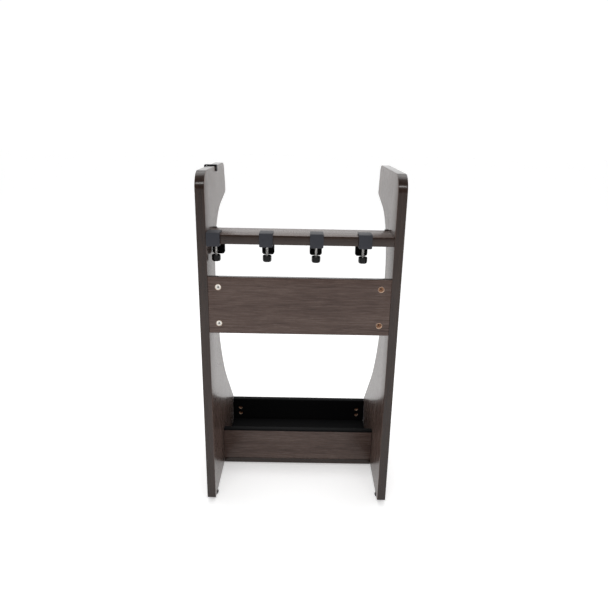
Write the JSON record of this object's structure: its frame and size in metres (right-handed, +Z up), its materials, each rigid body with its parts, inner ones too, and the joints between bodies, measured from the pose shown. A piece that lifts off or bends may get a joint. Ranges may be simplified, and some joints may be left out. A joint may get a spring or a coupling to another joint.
{
  "type": "guitar rack",
  "caption": "Floor rack that stands guitars in a padded tray between two shaped wood side panels, with clamped sliding neck dividers on a rail.",
  "frame": {"origin": "on the floor, under the centre of the bounding box of the whole rack, hook included", "axes": "+Z up, +Y towards the open front with the tray lip, X along the neck rail with +X to the right seen from behind"},
  "size_m": [0.567, 0.4804, 0.9813],
  "materials": {
    "dark_wood": "satin dark brown laminate with fine grain",
    "black_foam": "matte black closed-cell foam",
    "black_rubber": "matte black rubber",
    "zinc": "cast zinc, lightly polished",
    "grey_metal": "satin slate grey powder coat",
    "steel": "bright zinc-plated steel",
    "black_plastic": "satin black moulded plastic",
    "black_steel": "satin black paint"
  },
  "bodies": {
    "rack_frame": {"back_cam_bolt_lower_left": "steel", "back_cam_bolt_lower_right": "steel", "back_cam_bolt_upper_left": "steel", "back_cam_bolt_upper_right": "steel", "back_cam_lock_lower_left": "zinc", "back_cam_lock_lower_right": "zinc", "back_cam_lock_upper_left": "zinc", "back_cam_lock_upper_right": "zinc", "back_panel": "dark_wood", "foot_front_left": "black_rubber", "foot_front_right": "black_rubber", "foot_rear_left": "black_rubber", "foot_rear_right": "black_rubber", "left_side_panel": "dark_wood", "lip_cam_bolt_lower_left": "steel", "lip_cam_bolt_lower_right": "steel", "lip_cam_bolt_upper_left": "steel", "lip_cam_bolt_upper_right": "steel", "lip_cam_lock_lower_left": "zinc", "lip_cam_lock_lower_right": "zinc", "lip_cam_lock_upper_left": "zinc", "lip_cam_lock_upper_right": "zinc", "neck_rail": "dark_wood", "neck_rail_pad": "black_foam", "rail_cam_bolt_left": "steel", "rail_cam_bolt_right": "steel", "rail_cam_lock_left": "zinc", "rail_cam_lock_right": "zinc", "rail_pad_cap_left": "black_rubber", "rail_pad_cap_right": "black_rubber", "right_side_panel": "dark_wood", "tray_floor_pad": "black_foam", "tray_front_lip": "dark_wood", "tray_front_pad": "black_foam", "tray_rear_board": "dark_wood", "tray_rear_pad": "black_foam", "tray_shelf": "dark_wood"},
    "hook": {"accessory_hook": "black_steel"},
    "clamp_1": {"clamp_body_1": "grey_metal", "neck_divider_1": "black_foam"},
    "clamp_1_pad": {"pressure_pad_1": "black_rubber"},
    "clamp_1_screw": {"clamp_screw_1": "steel", "clamp_knob_1": "black_plastic"},
    "clamp_2": {"clamp_body_2": "grey_metal", "neck_divider_2": "black_foam"},
    "clamp_2_pad": {"pressure_pad_2": "black_rubber"},
    "clamp_2_screw": {"clamp_screw_2": "steel", "clamp_knob_2": "black_plastic"},
    "clamp_3": {"clamp_body_3": "grey_metal", "neck_divider_3": "black_foam"},
    "clamp_3_pad": {"pressure_pad_3": "black_rubber"},
    "clamp_3_screw": {"clamp_screw_3": "steel", "clamp_knob_3": "black_plastic"},
    "clamp_4": {"clamp_body_4": "grey_metal", "neck_divider_4": "black_foam"},
    "clamp_4_pad": {"pressure_pad_4": "black_rubber"},
    "clamp_4_screw": {"clamp_screw_4": "steel", "clamp_knob_4": "black_plastic"}
  },
  "joints": [
    {"name": "hook_slide", "type": "slide", "parent": "rack_frame", "child": "hook", "axis": [0, 1, 0], "range_m": [-0.13, 0.12]},
    {"name": "clamp_1_slide", "type": "slide", "parent": "rack_frame", "child": "clamp_1", "axis": [1, 0, 0], "range_m": [0, 0.045]},
    {"name": "clamp_1_press", "type": "slide", "parent": "clamp_1", "child": "clamp_1_pad", "axis": [0, 0, 1], "range_m": [-0.0015, 0]},
    {"name": "clamp_1_turn", "type": "hinge", "parent": "clamp_1_pad", "child": "clamp_1_screw", "pos_m": [-0.2134, -0.19085, 0.748], "axis": [0, 0, 1], "range_deg": [-540, 0]},
    {"name": "clamp_2_slide", "type": "slide", "parent": "rack_frame", "child": "clamp_2", "axis": [1, 0, 0], "range_m": [-0.045, 0.045]},
    {"name": "clamp_2_press", "type": "slide", "parent": "clamp_2", "child": "clamp_2_pad", "axis": [0, 0, 1], "range_m": [-0.0015, 0]},
    {"name": "clamp_2_turn", "type": "hinge", "parent": "clamp_2_pad", "child": "clamp_2_screw", "pos_m": [-0.076, -0.19085, 0.748], "axis": [0, 0, 1], "range_deg": [-540, 0]},
    {"name": "clamp_3_slide", "type": "slide", "parent": "rack_frame", "child": "clamp_3", "axis": [1, 0, 0], "range_m": [-0.045, 0.043]},
    {"name": "clamp_3_press", "type": "slide", "parent": "clamp_3", "child": "clamp_3_pad", "axis": [0, 0, 1], "range_m": [-0.0015, 0]},
    {"name": "clamp_3_turn", "type": "hinge", "parent": "clamp_3_pad", "child": "clamp_3_screw", "pos_m": [0.056, -0.19085, 0.748], "axis": [0, 0, 1], "range_deg": [-540, 0]},
    {"name": "clamp_4_slide", "type": "slide", "parent": "rack_frame", "child": "clamp_4", "axis": [1, 0, 0], "range_m": [-0.043, 0.05]},
    {"name": "clamp_4_press", "type": "slide", "parent": "clamp_4", "child": "clamp_4_pad", "axis": [0, 0, 1], "range_m": [-0.0015, 0]},
    {"name": "clamp_4_turn", "type": "hinge", "parent": "clamp_4_pad", "child": "clamp_4_screw", "pos_m": [0.1825, -0.19085, 0.748], "axis": [0, 0, 1], "range_deg": [-540, 0]}
  ],
  "couplings": [
    {"joint": "clamp_1_turn", "follows": "clamp_1_press", "rad_per_m": 6283.2},
    {"joint": "clamp_2_turn", "follows": "clamp_2_press", "rad_per_m": 6283.2},
    {"joint": "clamp_3_turn", "follows": "clamp_3_press", "rad_per_m": 6283.2},
    {"joint": "clamp_4_turn", "follows": "clamp_4_press", "rad_per_m": 6283.2}
  ]
}
